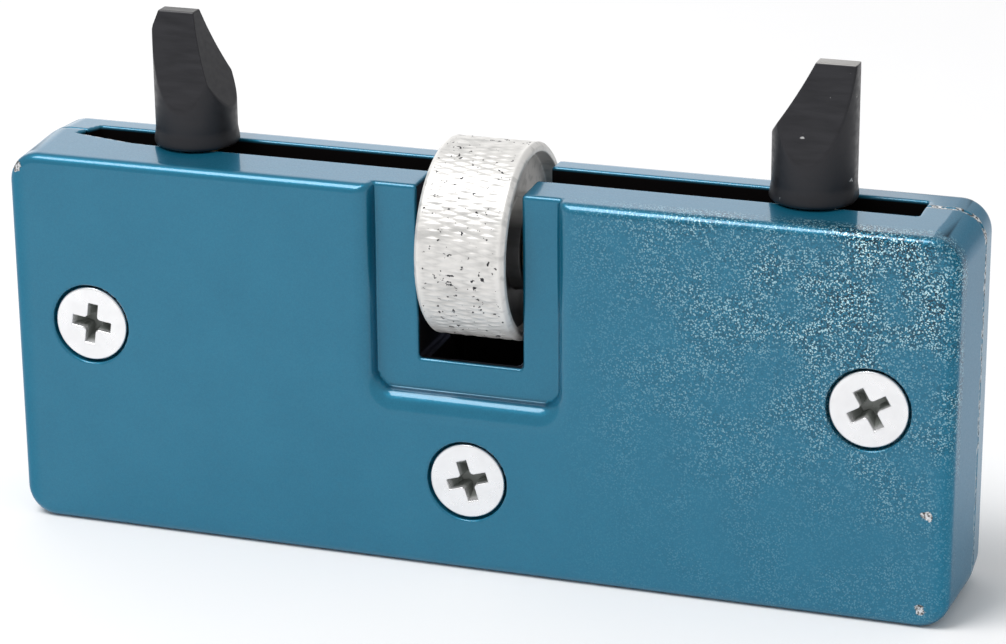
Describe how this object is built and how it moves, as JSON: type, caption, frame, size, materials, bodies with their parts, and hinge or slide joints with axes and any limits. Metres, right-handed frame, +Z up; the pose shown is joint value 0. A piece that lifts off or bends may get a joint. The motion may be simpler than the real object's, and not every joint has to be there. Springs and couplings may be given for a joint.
{
  "type": "case back opener",
  "caption": "Flat pocket case wrench: a knurled wheel turns a two-handed lead screw that moves a pair of steel claws together and apart along a slot.",
  "frame": {"origin": "under the middle of the thumb wheel, on the flat bottom face that the case stands on, at the bounding box's bottom centre", "axes": "+X to the right along the case's length, -Y out of the front face with the three screws, +Z up towards the claws' tips"},
  "size_m": [0.066, 0.0132, 0.0357],
  "materials": {
    "blue_enamel": "metallic blue enamel with fine flake on a die-cast shell, satin gloss, small chips at the edges",
    "knurled_metal": "pale bright metal, diamond knurl on the rim, turned sides",
    "screw_plate": "bright nickel-plated screw heads with a darker recess",
    "black_oxide": "blackened hardened steel with fine grinding marks, bright at the tip's ground edge",
    "bright_steel": "plain turned steel, lightly oiled",
    "brass": "machined brass, satin"
  },
  "bodies": {
    "case": {"front_shell": "blue_enamel", "rear_shell": "blue_enamel", "cover_screw_left": "screw_plate", "cover_screw_right": "screw_plate", "cover_screw_bottom": "screw_plate", "dowel_left": "bright_steel", "dowel_right": "bright_steel", "end_bearing_left": "brass", "end_bearing_right": "brass"},
    "wheel": {"adjusting_wheel": "knurled_metal", "lead_screw": "bright_steel", "wheel_pin": "bright_steel", "thrust_washer_left": "brass", "thrust_washer_right": "brass"},
    "left_jaw": {"carriage_left": "brass", "claw_left": "black_oxide", "claw_set_screw_left": "black_oxide"},
    "right_jaw": {"carriage_right": "brass", "claw_right": "black_oxide", "claw_set_screw_right": "black_oxide"}
  },
  "joints": [
    {"name": "wheel_turn", "type": "hinge", "parent": "case", "child": "wheel", "pos_m": [0, 0, 0.02186], "axis": [-1, 0, 0], "range_deg": [-7561, 2341]},
    {"name": "left_jaw_slide", "type": "slide", "parent": "case", "child": "left_jaw", "axis": [-1, 0, 0], "range_m": [-0.0126, 0.0039]},
    {"name": "right_jaw_slide", "type": "slide", "parent": "case", "child": "right_jaw", "axis": [1, 0, 0], "range_m": [-0.0126, 0.0039]}
  ],
  "couplings": [
    {"joint": "wheel_turn", "follows": "left_jaw_slide", "rad_per_m": 10472},
    {"joint": "right_jaw_slide", "follows": "left_jaw_slide", "ratio": 1}
  ]
}
